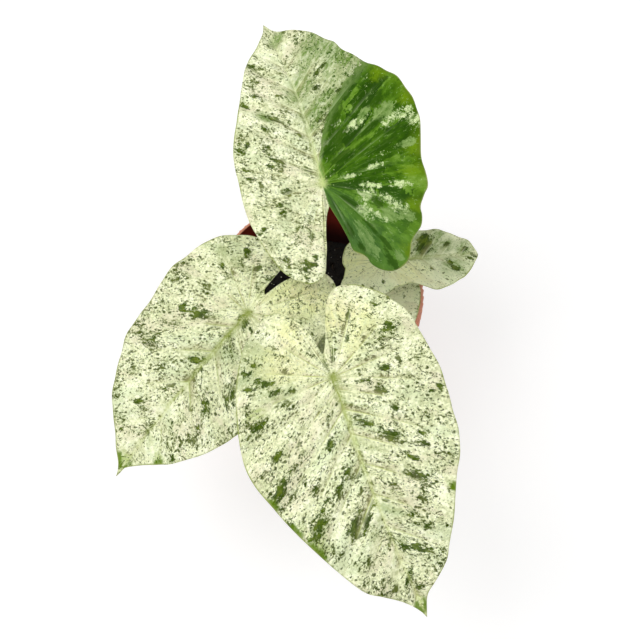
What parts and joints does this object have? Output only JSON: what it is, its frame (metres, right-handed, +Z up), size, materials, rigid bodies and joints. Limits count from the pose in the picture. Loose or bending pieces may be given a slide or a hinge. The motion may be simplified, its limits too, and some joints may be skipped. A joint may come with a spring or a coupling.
{
  "type": "potted alocasia",
  "caption": "Young variegated elephant-ear plant with broad, flecked arrow-shaped leaves on leaning stalks, in a ribbed round plastic nursery pot.",
  "frame": {"origin": "middle of the pot's underside, on the surface it stands on", "axes": "+Z up; the lowest and widest leaf reaches towards -Y, and the tall leaf at the back towards +Y"},
  "size_m": [0.1985, 0.3182, 0.2087],
  "materials": {
    "terracotta_plastic": "satin",
    "potting_mix": "matte",
    "green_stem": "satin",
    "variegated_leaf": "satin"
  },
  "bodies": {
    "root": {"pot": "terracotta_plastic", "potting_mix": "potting_mix", "crown": "green_stem", "stalk_back": "green_stem", "stalk_left": "green_stem", "stalk_front": "green_stem", "stalk_small": "green_stem", "stalk_old": "green_stem", "blade_back": "variegated_leaf", "blade_left": "variegated_leaf", "blade_front": "variegated_leaf", "blade_small": "variegated_leaf", "blade_old": "variegated_leaf"}
  },
  "joints": []
}
